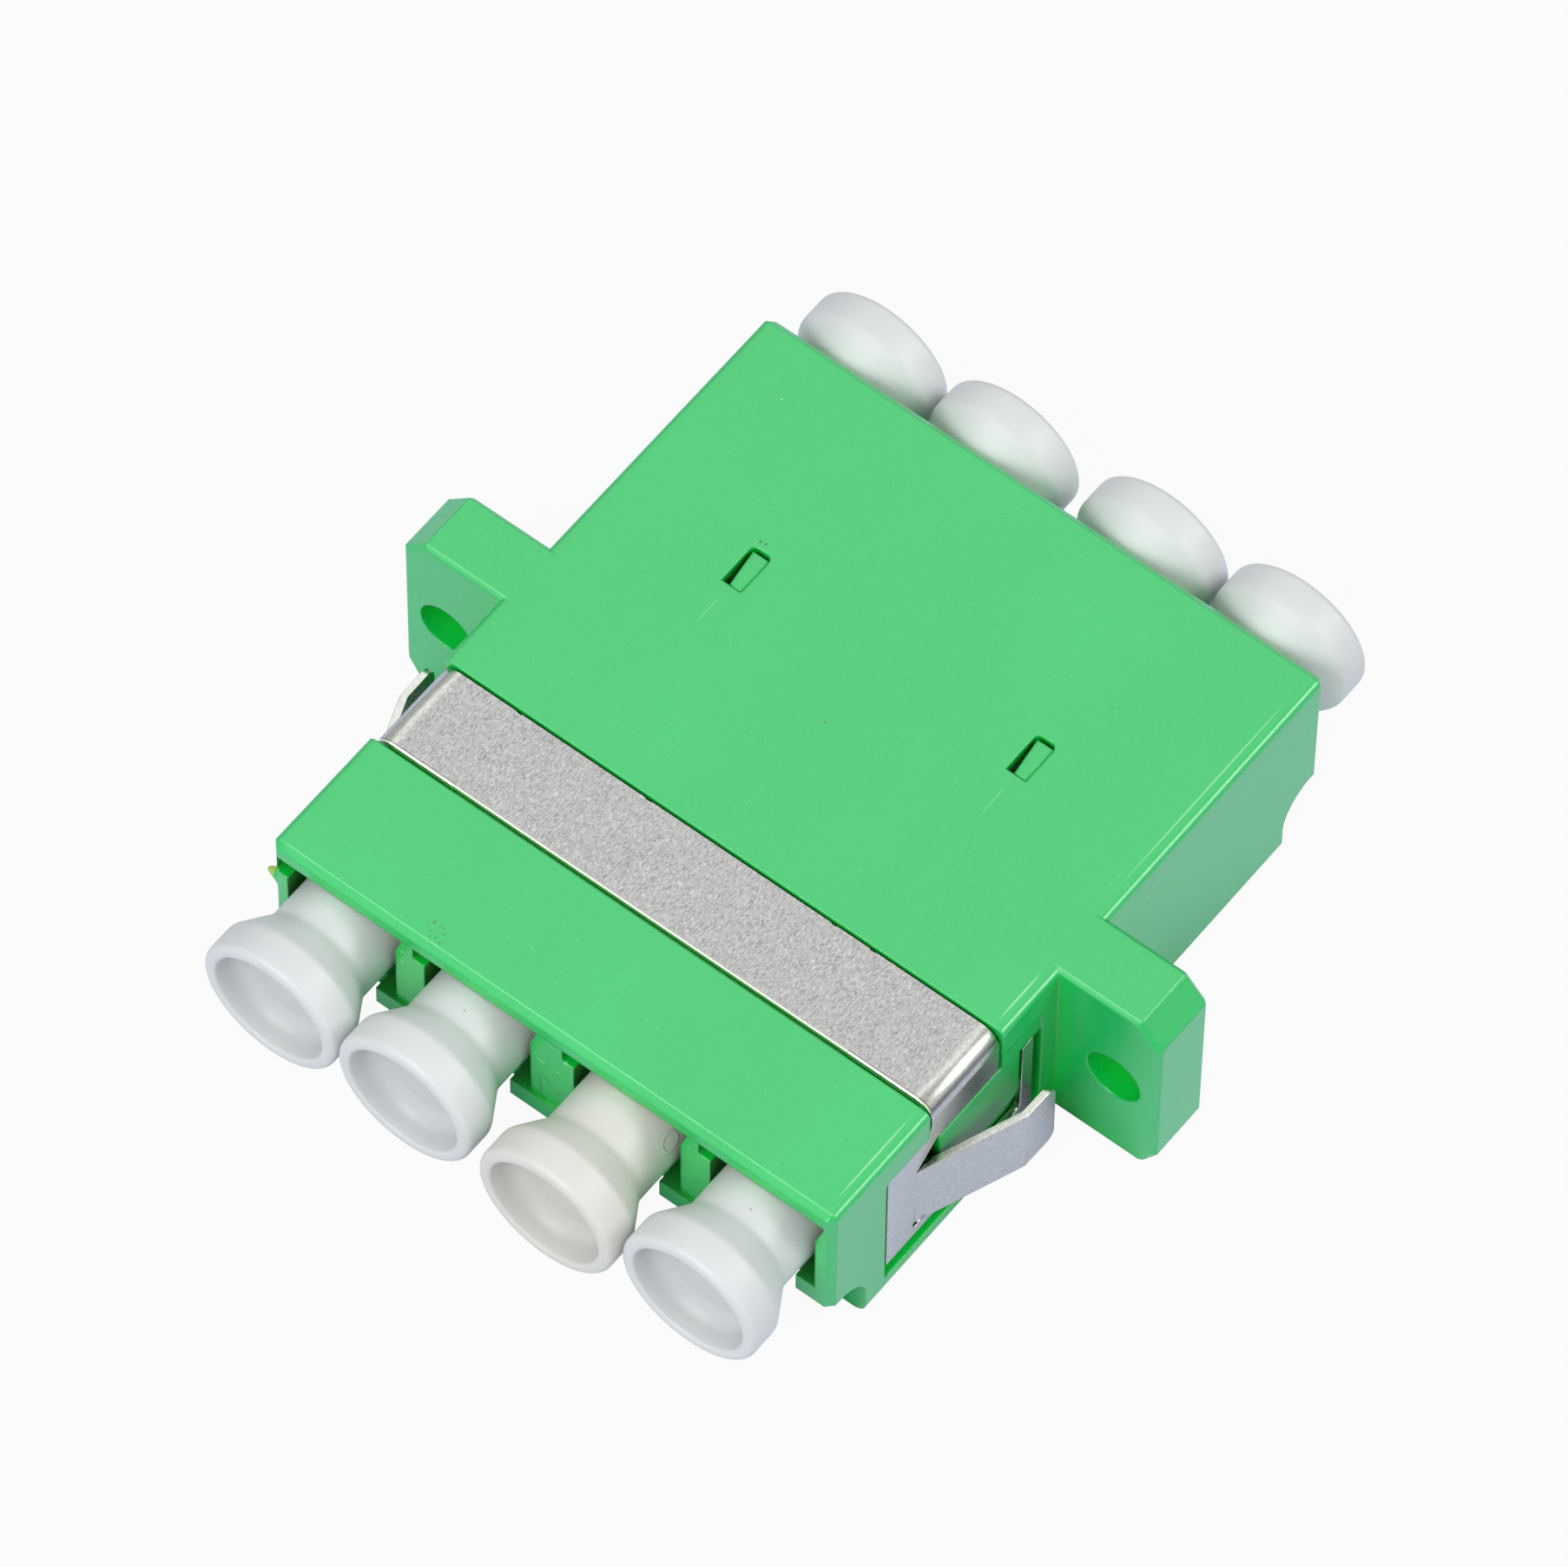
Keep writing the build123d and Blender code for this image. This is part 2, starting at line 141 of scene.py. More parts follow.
def joinFlatFaces(mesh, nudge=None):
    bm = bmesh.new()
    bm.from_mesh(mesh)
    bmesh.ops.remove_doubles(bm, verts=bm.verts, dist=edgeFinish["mergeReach"])
    bmesh.ops.dissolve_limit(bm, angle_limit=math.radians(edgeFinish["flatAngle"]), verts=bm.verts,
                             edges=bm.edges)
    for part in list(bm.faces) + list(bm.edges):
        part.smooth = True
    for vert in bm.verts:
        if nudge:
            vert.co = nudge(vert.co)
    bm.to_mesh(mesh)
    bm.free()
    if "custom_normal" in mesh.attributes:
        mesh.attributes.remove(mesh.attributes["custom_normal"])


def finishedCopy(node, name, material, softness=0.0, nudge=None):
    # softness is the width of the rounded edges in mm, and 0 leaves the mesh as it came
    mesh = cadNodes[node].data.copy()
    mesh.name = name
    piece = bpy.data.objects.new(name, mesh)
    bpy.context.scene.collection.objects.link(piece)
    if softness:
        joinFlatFaces(mesh, nudge)
        roundEdges = piece.modifiers.new("roundEdges", "BEVEL")
        roundEdges.width = softness * mm
        roundEdges.segments = edgeFinish["segments"]
        roundEdges.limit_method = "ANGLE"
        roundEdges.angle_limit = math.radians(edgeFinish["sharpAngle"])
        roundEdges.use_clamp_overlap = False
        piece.modifiers.new("evenNormals", "WEIGHTED_NORMAL")
    mesh.materials.clear()
    mesh.materials.append(material)
    for face in mesh.polygons:
        face.material_index = 0
    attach(piece, bodyOf[node])
    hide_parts(node)
    return piece


# green mouldings

greenMoulding = {
    "colour": (0.001, 0.582, 0.122, 1), "cloudColour": (0.004, 0.612, 0.136, 1),
    # painted light and shade: a bounce-lit green for hollows and a nearly black shade for narrow gaps
    "hollowLightColour": (0.0, 0.70, 0.045, 1), "gapShadeColour": (0.012, 0.045, 0.004, 1),
    "paleMarkAndHighlightColour": (0.34, 0.86, 0.47, 1), "darkColour": (0.02, 0.12, 0.05, 1),
    "tornColour": (0.42, 0.66, 0.06, 1), "smearColour": (0.20, 0.62, 0.12, 1),
    "cloudPerMetre": (160, 110, 160), "cloudRange": (0.35, 0.7),
    "hollowReach": 3.0 * mm, "hollowLightRange": (0.25, 0.75), "gapShadeRange": (0.01, 0.09),
    "grainPerMetre": (9000, 9000, 9000), "grainRange": (0.55, 0.85), "grainStrength": 0.10,
    "crumbsPerMetre": (7000, 7000, 7000), "crumbRange": (0.55, 0.68), "smudgeStrength": 0.7,
    "tornOutside": (12.93 * mm, 13.05 * mm), "tornForward": (13.3 * mm, 13.5 * mm),
    "ior": 1.75, "smoothest": 0.22, "roughest": 0.31, "edgeRound": 0.13 * mm,
    "glow": 0.12, "glowRadius": (0.2, 1.0, 0.35), "glowDepth": 0.7 * mm,
    "skinPerMetre": (3600, 3600, 3600), "skinHeight": 0.006 * mm, "skinStrength": 0.3,
    "marks": {
        "knitLines": [line((-6.6, 3.85, 9.4), (-6.6, 2.05, 9.4), 0.03),
                      line((6.6, 3.85, 9.4), (6.6, 2.05, 9.4), 0.03)],
        "faintLines": [line((-0.3, -0.65, 9.4), (-0.35, -3.85, 9.4), 0.02),
                       line((0.66, -10.05, 9.4), (0.6, -13.85, 9.4), 0.02),
                       line((-2.9, -12.2, 9.4), (-2.2, -12.5, 9.4), 0.03),
                       line((12.9, -13.68, 4.11), (12.9, -12.05, 4.01), 0.02)],
        # painted highlight lines along the right top edge
        "paintedHighlightLines": [line((12.4, -14.1, 9.39), (12.4, -9.0, 9.39), 0.045),
                      line((12.4, -4.45, 9.39), (12.4, -1.6, 9.39), 0.05),
                      line((12.4, 1.9, 9.39), (12.4, 14.2, 9.39), 0.035)],
        "darkSpecks": [dot((-6.91, 6.49, 9.4), (0.09, 0.07, 0.05)),
                       dot((-6.69, 6.52, 9.4), (0.08, 0.07, 0.05)),
                       dot((-0.25, 1.78, 9.4), (0.06, 0.05, 0.05)),
                       dot((13.04, 1.96, 9.4), (0.07, 0.05, 0.05)),
                       dot((-6.79, -14.5, 8.27), (0.06, 0.2, 0.06))],
        "hairs": [line((-0.56, -14.5, 5.87), (0.04, -14.5, 5.07), 0.035),
                  line((0.04, -14.5, 5.07), (0.52, -14.5, 5.02), 0.035),
                  line((-0.56, -14.5, 5.6), (-0.53, -14.5, 4.1), 0.035),
                  line((-0.53, -14.5, 4.1), (-0.01, -14.5, 3.84), 0.05)],
        # small flash blobs, with their glints painted pale as highlights
        "sparkles": [dot((-6.92, -14.5, 7.58), (0.07, 0.2, 0.12)),
                     dot((-6.94, -14.5, 6.84), (0.05, 0.2, 0.14)),
                     dot((-6.3, -14.5, 7.6), (0.14, 0.2, 0.07)),
                     dot((-0.5, -14.5, 6.55), (0.22, 0.2, 0.06)),
                     dot((0.25, -14.5, 6.5), (0.1, 0.2, 0.05)),
                     dot((0.62, -14.5, 7.49), (0.1, 0.2, 0.05)),
                     dot((6.27, -14.5, 7.58), (0.06, 0.2, 0.1)),
                     dot((-10.17, 11.9, 9.4), (0.06, 0.05, 0.05))],
        "smear": [((-12.8, -14.5, 6.4), (0.34, 0.3, 0.4), (1, 0, -0.7))],
        "smudge": [((-5.7, -13.9, 9.4), (0.75, 0.45, 0.2), (1, -0.35, 0))],
    },
    "markTints": [("knitLines", 0.42, "paleMarkAndHighlightColour"), ("faintLines", 0.20, "paleMarkAndHighlightColour"),
                  ("paintedHighlightLines", 0.9, "paleMarkAndHighlightColour"), ("darkSpecks", 0.85, "darkColour"),
                  ("hairs", 0.7, "darkColour"), ("sparkles", 0.75, "paleMarkAndHighlightColour"),
                  ("smear", 0.6, "smearColour")],
}


def markedGreen(tree, place, colour):
    # the small marks of the real housing: knit lines, scratches, specks and the torn tip, with painted
    # highlight lines along the right top edge and painted glints on small flash blobs
    values = greenMoulding
    for key, strength, tint in values["markTints"]:
        factor = math2(tree, "MULTIPLY", spots(tree, place, values["marks"][key]), strength)
        colour = blendColour(tree, factor, colour, values[tint])
    crumbs = between(tree, stretchedNoise(tree, place, values["crumbsPerMetre"]), *values["crumbRange"])
    smudge = math2(tree, "MULTIPLY", spots(tree, place, values["marks"]["smudge"]), crumbs)
    smudge = math2(tree, "MULTIPLY", smudge, values["smudgeStrength"])
    colour = blendColour(tree, smudge, colour, values["darkColour"])
    x, y, z = put(tree, "ShaderNodeSeparateXYZ", {0: place}).outputs
    outside = between(tree, math2(tree, "MULTIPLY", x, -1.0), *values["tornOutside"])
    atCorner = between(tree, math2(tree, "MULTIPLY", y, -1.0), *values["tornForward"])
    return blendColour(tree, math2(tree, "MULTIPLY", outside, atCorner), colour, values["tornColour"])


def greenPlastic(name, marked):
    values = greenMoulding
    material, tree, shader = startMaterial(name)
    place = put(tree, "ShaderNodeTexCoord").outputs["Object"]
    cloud = stretchedNoise(tree, place, values["cloudPerMetre"], 3.0)
    colour = blendColour(tree, between(tree, cloud, *values["cloudRange"]), values["colour"],
                         values["cloudColour"])
    # painted light and shade: hollows are painted a brighter, more saturated green for the light bounced
    # inside them, and narrow gaps are painted a nearly black shade
    openness = put(tree, "ShaderNodeAmbientOcclusion", {"Distance": values["hollowReach"]},
                   samples=4).outputs["AO"]
    colour = blendColour(tree, between(tree, openness, *values["hollowLightRange"]), values["hollowLightColour"], colour)
    colour = blendColour(tree, between(tree, openness, *values["gapShadeRange"]), values["gapShadeColour"], colour)
    grain = between(tree, stretchedNoise(tree, place, values["grainPerMetre"], 1.0), *values["grainRange"])
    colour = blendColour(tree, math2(tree, "MULTIPLY", grain, values["grainStrength"]), colour,
                         values["paleMarkAndHighlightColour"])
    if marked:
        colour = markedGreen(tree, place, colour)
    tree.links.new(colour, shader.inputs["Base Color"])
    shader.inputs["IOR"].default_value = values["ior"]
    tree.links.new(fromTo(tree, cloud, values["smoothest"], values["roughest"]), shader.inputs["Roughness"])
    shader.inputs["Subsurface Weight"].default_value = values["glow"]
    shader.inputs["Subsurface Radius"].default_value = values["glowRadius"]
    shader.inputs["Subsurface Scale"].default_value = values["glowDepth"]
    edges = put(tree, "ShaderNodeBevel", {"Radius": values["edgeRound"]}, samples=6)
    skin = stretchedNoise(tree, place, values["skinPerMetre"])
    bump = put(tree, "ShaderNodeBump", {"Height": skin, "Strength": values["skinStrength"],
                                        "Distance": values["skinHeight"], "Normal": edges.outputs[0]})
    tree.links.new(bump.outputs[0], shader.inputs["Normal"])
    return material


innerSoftness = 0.04  # mm, on the edges of the small inner pieces
greenHousing = greenPlastic("greenHousing", True)
greenInner = greenPlastic("greenInner", False)
finishedCopy("housing", "adapterBody", greenHousing)
for side in ("left", "right"):
    finishedCopy("front_holder_" + side, side + "FrontHolder", greenInner, innerSoftness)
    finishedCopy("rear_insert_" + side, side + "RearInsert", greenInner, innerSoftness)
print("green mouldings finished")


# spring clip

springClip = {
    "colour": (0.385, 0.38, 0.37, 1), "darkColour": (0.255, 0.25, 0.25, 1),
    "brightColour": (0.54, 0.53, 0.51, 1), "scratchColour": (0.16, 0.155, 0.155, 1),
    "foldReflectionColour": (0.17, 0.145, 0.14, 1), "edgeHighlightColour": (0.96, 0.91, 0.80, 1),
    # painted light: a lighter, warmer tone for the folded sides than for the top
    "sideLightColour": (0.77, 0.775, 0.66, 1), "sideLightLift": 0.34,
    "topRoughness": 0.42, "sideRoughness": 0.24,
    "grainPerMetre": (16000, 5500, 16000), "darkRange": (0.32, 0.52), "brightRange": (0.5, 0.72),
    "grainHeight": 0.003 * mm, "grainStrength": 0.35,
    "strokesPerMetre": (9500, 3000, 9500), "strokeWidth": 0.035, "strokeStrength": 0.6,
    "breaksPerMetre": (2600, 1700, 2600), "breakRange": (0.42, 0.62),
    "sideStart": (11.8 * mm, 12.2 * mm), "topStart": (8.9 * mm, 9.0 * mm),
    "foldReflectionLine": 8.93 * mm, "foldReflectionHalf": (0.13 * mm, 0.02 * mm), "foldReflectionStrength": 0.75,
    "frontEdgeHighlight": (-8.605 * mm, -8.625 * mm), "behindEdge": (-8.55 * mm, -8.58 * mm), "behindStrength": 0.8,
    "edgeSoftness": 0.03, "nickHeight": 8.9 * mm, "nickPlace": -4.82 * mm, "nickReach": 0.02 * mm,
    "nickLift": 0.05 * mm,
    "marks": {
        "pits": [dot((12.83, -9.31, 2.50), (0.3, 0.09, 0.20)), dot((12.83, -9.2, 2.66), (0.3, 0.14, 0.07))],
        "scratches": [line((-9.2, -6.6, 9.32), (-8.95, -6.3, 9.32), 0.03),
                      line((-8.95, -6.3, 9.32), (-8.75, -6.35, 9.32), 0.03),
                      line((-1.2, -7.4, 9.32), (-0.9, -7.1, 9.32), 0.03),
                      line((3.1, -6.1, 9.32), (3.3, -6.5, 9.32), 0.03),
                      line((6.4, -5.6, 9.32), (6.0, -5.9, 9.32), 0.03),
                      line((8.3, -7.9, 9.32), (8.5, -7.6, 9.32), 0.03)],
    },
    "markStrengths": [("scratches", 0.6), ("pits", 0.9)],
}


def rolledGrain(tree, place, grain):
    # a fine grain with thin dark strokes, where a second noise crosses its middle
    values = springClip
    colour = blendColour(tree, between(tree, grain, *values["darkRange"]), values["darkColour"],
                         values["colour"])
    colour = blendColour(tree, between(tree, grain, *values["brightRange"]), colour, values["brightColour"])
    wave = stretchedNoise(tree, place, values["strokesPerMetre"], 1.5, 0.5, 0.6)
    offMiddle = math2(tree, "ABSOLUTE", math2(tree, "SUBTRACT", wave, 0.5))
    stroke = between(tree, offMiddle, values["strokeWidth"], 0.0)
    breaks = stretchedNoise(tree, place, values["breaksPerMetre"], 1.0)
    stroke = math2(tree, "MULTIPLY", stroke, between(tree, breaks, *values["breakRange"]))
    stroke = math2(tree, "MULTIPLY", stroke, values["strokeStrength"])
    return blendColour(tree, stroke, colour, values["scratchColour"])


def rolledSteel(name):
    values = springClip
    material, tree, shader = startMaterial(name)
    place = put(tree, "ShaderNodeTexCoord").outputs["Object"]
    x, y, z = put(tree, "ShaderNodeSeparateXYZ", {0: place}).outputs
    grain = stretchedNoise(tree, place, values["grainPerMetre"], 2.5, 0.6, 0.8)
    colour = rolledGrain(tree, place, grain)
    # painted light: the folded sides are painted a lighter, warmer tone than the top
    atSide = between(tree, math2(tree, "ABSOLUTE", x), *values["sideStart"])
    colour = blendColour(tree, math2(tree, "MULTIPLY", atSide, values["sideLightLift"]), colour,
                         values["sideLightColour"])
    # painted reflection: a dark band is painted along the middle of each fold
    foldOff = math2(tree, "ABSOLUTE", math2(tree, "SUBTRACT", z, values["foldReflectionLine"]))
    foldReflection = math2(tree, "MULTIPLY", between(tree, foldOff, *values["foldReflectionHalf"]), atSide)
    foldReflection = math2(tree, "MULTIPLY", foldReflection, values["foldReflectionStrength"])
    colour = blendColour(tree, foldReflection, colour, values["foldReflectionColour"])
    # painted highlight: the sheared front edge is painted bright, with a dark line painted just behind it
    onTop = between(tree, z, *values["topStart"])
    behind = math2(tree, "MULTIPLY", between(tree, y, *values["behindEdge"]), onTop)
    behind = math2(tree, "MULTIPLY", behind, values["behindStrength"])
    colour = blendColour(tree, behind, colour, values["scratchColour"])
    edgeHighlight = math2(tree, "MULTIPLY", between(tree, y, *values["frontEdgeHighlight"]), onTop)
    colour = blendColour(tree, edgeHighlight, colour, values["edgeHighlightColour"])
    for key, strength in values["markStrengths"]:
        factor = math2(tree, "MULTIPLY", spots(tree, place, values["marks"][key]), strength)
        colour = blendColour(tree, factor, colour, values["scratchColour"])
    tree.links.new(colour, shader.inputs["Base Color"])
    shader.inputs["Metallic"].default_value = 1.0
    rough = fromTo(tree, atSide, values["topRoughness"], values["sideRoughness"])
    tree.links.new(rough, shader.inputs["Roughness"])
    bump = put(tree, "ShaderNodeBump", {"Height": grain, "Strength": values["grainStrength"],
                                        "Distance": values["grainHeight"]})
    tree.links.new(bump.outputs[0], shader.inputs["Normal"])
    return material


def shallowNick(place):
    # the nicks along the strip's rear edge go less deep than in the model
    values = springClip
    if place.z > values["nickHeight"] and abs(place.y - values["nickPlace"]) < values["nickReach"]:
        return Vector((place.x, values["nickPlace"] + values["nickLift"], place.z))
    return place


clipSteel = rolledSteel("clipSteel")
finishedCopy("spring_clip", "foldedClip", clipSteel, springClip["edgeSoftness"], shallowNick)
print("spring clip finished")


# ceramic sleeves

firedSleeve = {
    "darkColour": (0.86, 0.86, 0.83, 1), "paleMarkAndHighlightColour": (0.93, 0.93, 0.91, 1), "roughness": 0.2,
    "grainPerMetre": (3000, 3000, 3000), "polishPerMetre": (9000, 900, 9000),
    "polishHeight": 0.001 * mm, "polishStrength": 0.2,
}


def firedCeramic(name):
    values = firedSleeve
    material, tree, shader = startMaterial(name)
    place = put(tree, "ShaderNodeTexCoord").outputs["Object"]
    grain = stretchedNoise(tree, place, values["grainPerMetre"], 3.0)
    colour = blendColour(tree, grain, values["darkColour"], values["paleMarkAndHighlightColour"])
    tree.links.new(colour, shader.inputs["Base Color"])
    shader.inputs["Roughness"].default_value = values["roughness"]
    polish = stretchedNoise(tree, place, values["polishPerMetre"])
    bump = put(tree, "ShaderNodeBump", {"Height": polish, "Strength": values["polishStrength"],
                                        "Distance": values["polishHeight"]})
    tree.links.new(bump.outputs[0], shader.inputs["Normal"])
    return material


sleeveCeramic = firedCeramic("sleeveCeramic")
for port in range(1, 5):
    finishedCopy("split_sleeve_%d" % port, "ceramicSleeve%d" % port, sleeveCeramic,
                 innerSoftness)
print("sleeves finished")


# dust caps

dustCap = {
    "colour": (0.82, 0.845, 0.85, 1), "coolColour": (0.785, 0.81, 0.825, 1),
    "warmColour": (0.84, 0.825, 0.775, 1), "warmPort": 3, "speckAndFootShadeColour": (0.42, 0.41, 0.38, 1),
    "cloudPerMetre": (300, 300, 300), "cloudRange": (0.4, 0.75), "cloudStrength": 0.6,
    "dishShade": 0.62, "dishReach": 3.5 * mm, "dishRange": (0.45, 0.97),
    "roughness": 0.42, "shine": 0.4,
    "milkiness": 0.35, "milkRadius": (1.0, 1.0, 1.0), "milkDepth": 1.0 * mm,
    "skinPerMetre": (2600, 2600, 2600), "skinHeight": 0.008 * mm, "skinStrength": 0.3,
    "specks": [dot((-3.24, -15.46, 8.51), (0.07, 0.05, 0.05)), dot((9.95, -15.57, 8.51), (0.05, 0.09, 0.05)),
               dot((-8.6, -17.1, 8.9), (0.04, 0.04, 0.04)), dot((-10.9, -18.2, 8.8), (0.04, 0.04, 0.04))],
    "speckStrength": 0.7,
    "ringMiddle": (5.49 * mm, -14.57 * mm, 7.16 * mm), "ringRadius": 0.40 * mm, "ringRise": 0.22 * mm,
    "ringSlope": (0.09 * mm, 0.03 * mm), "footReach": 0.05 * mm, "footStrength": 0.35,
    "shape": {
        "Neck Radius": 2.22 * mm, "Rim Radius": 3.05 * mm, "Lip Radius": 2.50 * mm,
        "Dish Radius": 2.20 * mm, "Dish Depth": 1.25 * mm, "Flare Length": 1.4 * mm,
        "Head Length": 2.8 * mm, "Stem Length": 9.0 * mm, "Bore Radius": 1.5 * mm, "Bore Wall": 0.5 * mm,
        "Dish Round": 0.9 * mm, "Lip Round": 0.15 * mm, "Rim Round": 0.28 * mm,
        "Flare Round": 0.6 * mm, "Neck Round": 0.7 * mm, "End Round": 0.12 * mm,
    },
    "steps": {"Corner Steps": 6, "Around": 96},
    "pairPitch": 6.25 * mm, "middlePitch": 6.9 * mm, "axisHeight": 6.3 * mm, "bodyEnd": 14.65 * mm,
    "frontNecks": (1.4 * mm, 1.4 * mm, 1.9 * mm, 1.5 * mm),
    "rearNecks": (0.2 * mm, 0.1 * mm, 0.15 * mm, 0.2 * mm),
}


def milkyPlastic(name, base, ringed):
    values = dustCap
    material, tree, shader = startMaterial(name)
    place = put(tree, "ShaderNodeTexCoord").outputs["Object"]
    cloud = between(tree, stretchedNoise(tree, place, values["cloudPerMetre"]), *values["cloudRange"])
    tint = math2(tree, "MULTIPLY", cloud, 0.0 if ringed else values["cloudStrength"])
    colour = blendColour(tree, tint, base, values["coolColour"])
    openness = put(tree, "ShaderNodeAmbientOcclusion", {"Distance": values["dishReach"]}, samples=4,
                   only_local=True).outputs["AO"]
    shaded = [v * values["dishShade"] for v in base[:3]] + [1]
    colour = blendColour(tree, between(tree, openness, *values["dishRange"]), shaded, colour)
    specks = math2(tree, "MULTIPLY", spots(tree, place, values["specks"]), values["speckStrength"])
    colour = blendColour(tree, specks, colour, values["speckAndFootShadeColour"])
    height = stretchedNoise(tree, place, values["skinPerMetre"])
    if ringed:
        colour, height = ringedNeck(tree, place, colour, height)
    tree.links.new(colour, shader.inputs["Base Color"])
    shader.inputs["Roughness"].default_value = values["roughness"]
    shader.inputs["Specular IOR Level"].default_value = values["shine"]
    shader.inputs["Subsurface Weight"].default_value = values["milkiness"]
    shader.inputs["Subsurface Radius"].default_value = values["milkRadius"]
    shader.inputs["Subsurface Scale"].default_value = values["milkDepth"]
    bump = put(tree, "ShaderNodeBump", {"Height": height, "Strength": values["skinStrength"],
                                        "Distance": values["skinHeight"]})
    tree.links.new(bump.outputs[0], shader.inputs["Normal"])
    return material


def ringedNeck(tree, place, colour, height):
    # a plain moulded ring on the neck, with a faint painted shade at its foot
    values = dustCap
    local = put(tree, "ShaderNodeVectorMath", {0: place, 1: values["ringMiddle"]},
                operation="SUBTRACT").outputs["Vector"]
    reach = put(tree, "ShaderNodeVectorMath", {0: local}, operation="LENGTH").outputs["Value"]
    off = math2(tree, "ABSOLUTE", math2(tree, "SUBTRACT", reach, values["ringRadius"]))
    ring = between(tree, off, *values["ringSlope"])
    rise = math2(tree, "MULTIPLY", ring, values["ringRise"] / values["skinHeight"])
    fromFoot = math2(tree, "ABSOLUTE", math2(tree, "SUBTRACT", off, values["ringSlope"][0]))
    footShade = between(tree, fromFoot, values["footReach"], 0.0)
    footShade = math2(tree, "MULTIPLY", footShade, values["footStrength"])
    return blendColour(tree, footShade, colour, values["speckAndFootShadeColour"]), math2(tree, "ADD", rise, height)


def capLathe():
    # the cap's outline as a short row of points, rounded at its corners and turned about its own axis
    tree = bpy.data.node_groups.new("turnedDustCap", "GeometryNodeTree")
    ports = tree.interface
    ports.new_socket("Geometry", in_out="OUTPUT", socket_type="NodeSocketGeometry")
    for name, value in dustCap["shape"].items():
        ports.new_socket(name, in_out="INPUT", socket_type="NodeSocketFloat").default_value = value
    for name, value in dustCap["steps"].items():
        ports.new_socket(name, in_out="INPUT", socket_type="NodeSocketInt").default_value = value
    ports.new_socket("Place", in_out="INPUT", socket_type="NodeSocketVector")
    ports.new_socket("Facing", in_out="INPUT", socket_type="NodeSocketVector")
    ports.new_socket("Finish", in_out="INPUT", socket_type="NodeSocketMaterial")
    given = tree.nodes.new("NodeGroupInput").outputs
    spindle = 1.0 * mm
    seamReach = 0.001 * mm

    def outlinePoint(radius, height):
        away = math2(tree, "SUBTRACT", radius, spindle)
        down = math2(tree, "MULTIPLY", height, -1.0)
        return put(tree, "ShaderNodeCombineXYZ", {0: away, 1: down}).outputs[0]

    def chooser(kind, values):
        # one value for each point of the row
        node = put(tree, "GeometryNodeIndexSwitch", data_type=kind)
        while len(node.index_switch_items) < len(values):
            node.index_switch_items.new()
        tree.links.new(tree.nodes.new("GeometryNodeInputIndex").outputs[0], node.inputs[0])
        for place, value in enumerate(values, 1):
            if isinstance(value, bpy.types.NodeSocket):
                tree.links.new(value, node.inputs[place])
            else:
                node.inputs[place].default_value = value
        return node.outputs[0]

    head, neck, rim = given["Head Length"], given["Neck Radius"], given["Rim Radius"]
    bore, endRound = given["Bore Radius"], given["End Round"]
    floor = math2(tree, "SUBTRACT", head, given["Dish Depth"])
    stemEnd = math2(tree, "MULTIPLY", given["Stem Length"], -1.0)
    wall = math2(tree, "MULTIPLY", given["Bore Wall"], -1.0)
    outline = [outlinePoint(0.0, floor), outlinePoint(given["Dish Radius"], floor),
               outlinePoint(given["Lip Radius"], head), outlinePoint(rim, head),
               outlinePoint(rim, given["Flare Length"]), outlinePoint(neck, 0.0),
               outlinePoint(neck, stemEnd), outlinePoint(bore, stemEnd),
               outlinePoint(bore, wall), outlinePoint(0.0, wall)]
    rounds = [0.0, given["Dish Round"], given["Lip Round"], given["Rim Round"], given["Flare Round"],
              given["Neck Round"], endRound, endRound, endRound, 0.0]
    row = put(tree, "GeometryNodeMeshLine", {"Count": len(outline)})
    laid = put(tree, "GeometryNodeSetPosition", {"Geometry": row.outputs[0],
                                                 "Position": chooser("VECTOR", outline)})
    drawn = put(tree, "GeometryNodeMeshToCurve", {"Mesh": laid.outputs[0]})
    rounded = put(tree, "GeometryNodeFilletCurve", {
        "Curve": drawn.outputs[0], "Count": given["Corner Steps"], "Radius": chooser("FLOAT", rounds),
        "Limit Radius": True}, mode="POLY")
    circle = put(tree, "GeometryNodeCurvePrimitiveCircle", {"Resolution": given["Around"], "Radius": spindle})
    turned = put(tree, "GeometryNodeCurveToMesh", {"Curve": circle.outputs[0],
                                                   "Profile Curve": rounded.outputs[0]})
    closed = put(tree, "GeometryNodeMergeByDistance", {"Geometry": turned.outputs[0], "Distance": seamReach})
    angle = put(tree, "FunctionNodeEulerToRotation", {0: given["Facing"]})
    placed = put(tree, "GeometryNodeTransform", {
        "Geometry": closed.outputs[0], "Translation": given["Place"], "Rotation": angle.outputs[0]})
    smooth = put(tree, "GeometryNodeSetShadeSmooth", {"Geometry": placed.outputs[0]})
    real = put(tree, "GeometryNodeRealizeInstances", {"Geometry": smooth.outputs[0]})
    dressed = put(tree, "GeometryNodeSetMaterial", {"Geometry": real.outputs[0], "Material": given["Finish"]})
    put(tree, "NodeGroupOutput", {0: dressed.outputs[0]})
    return tree


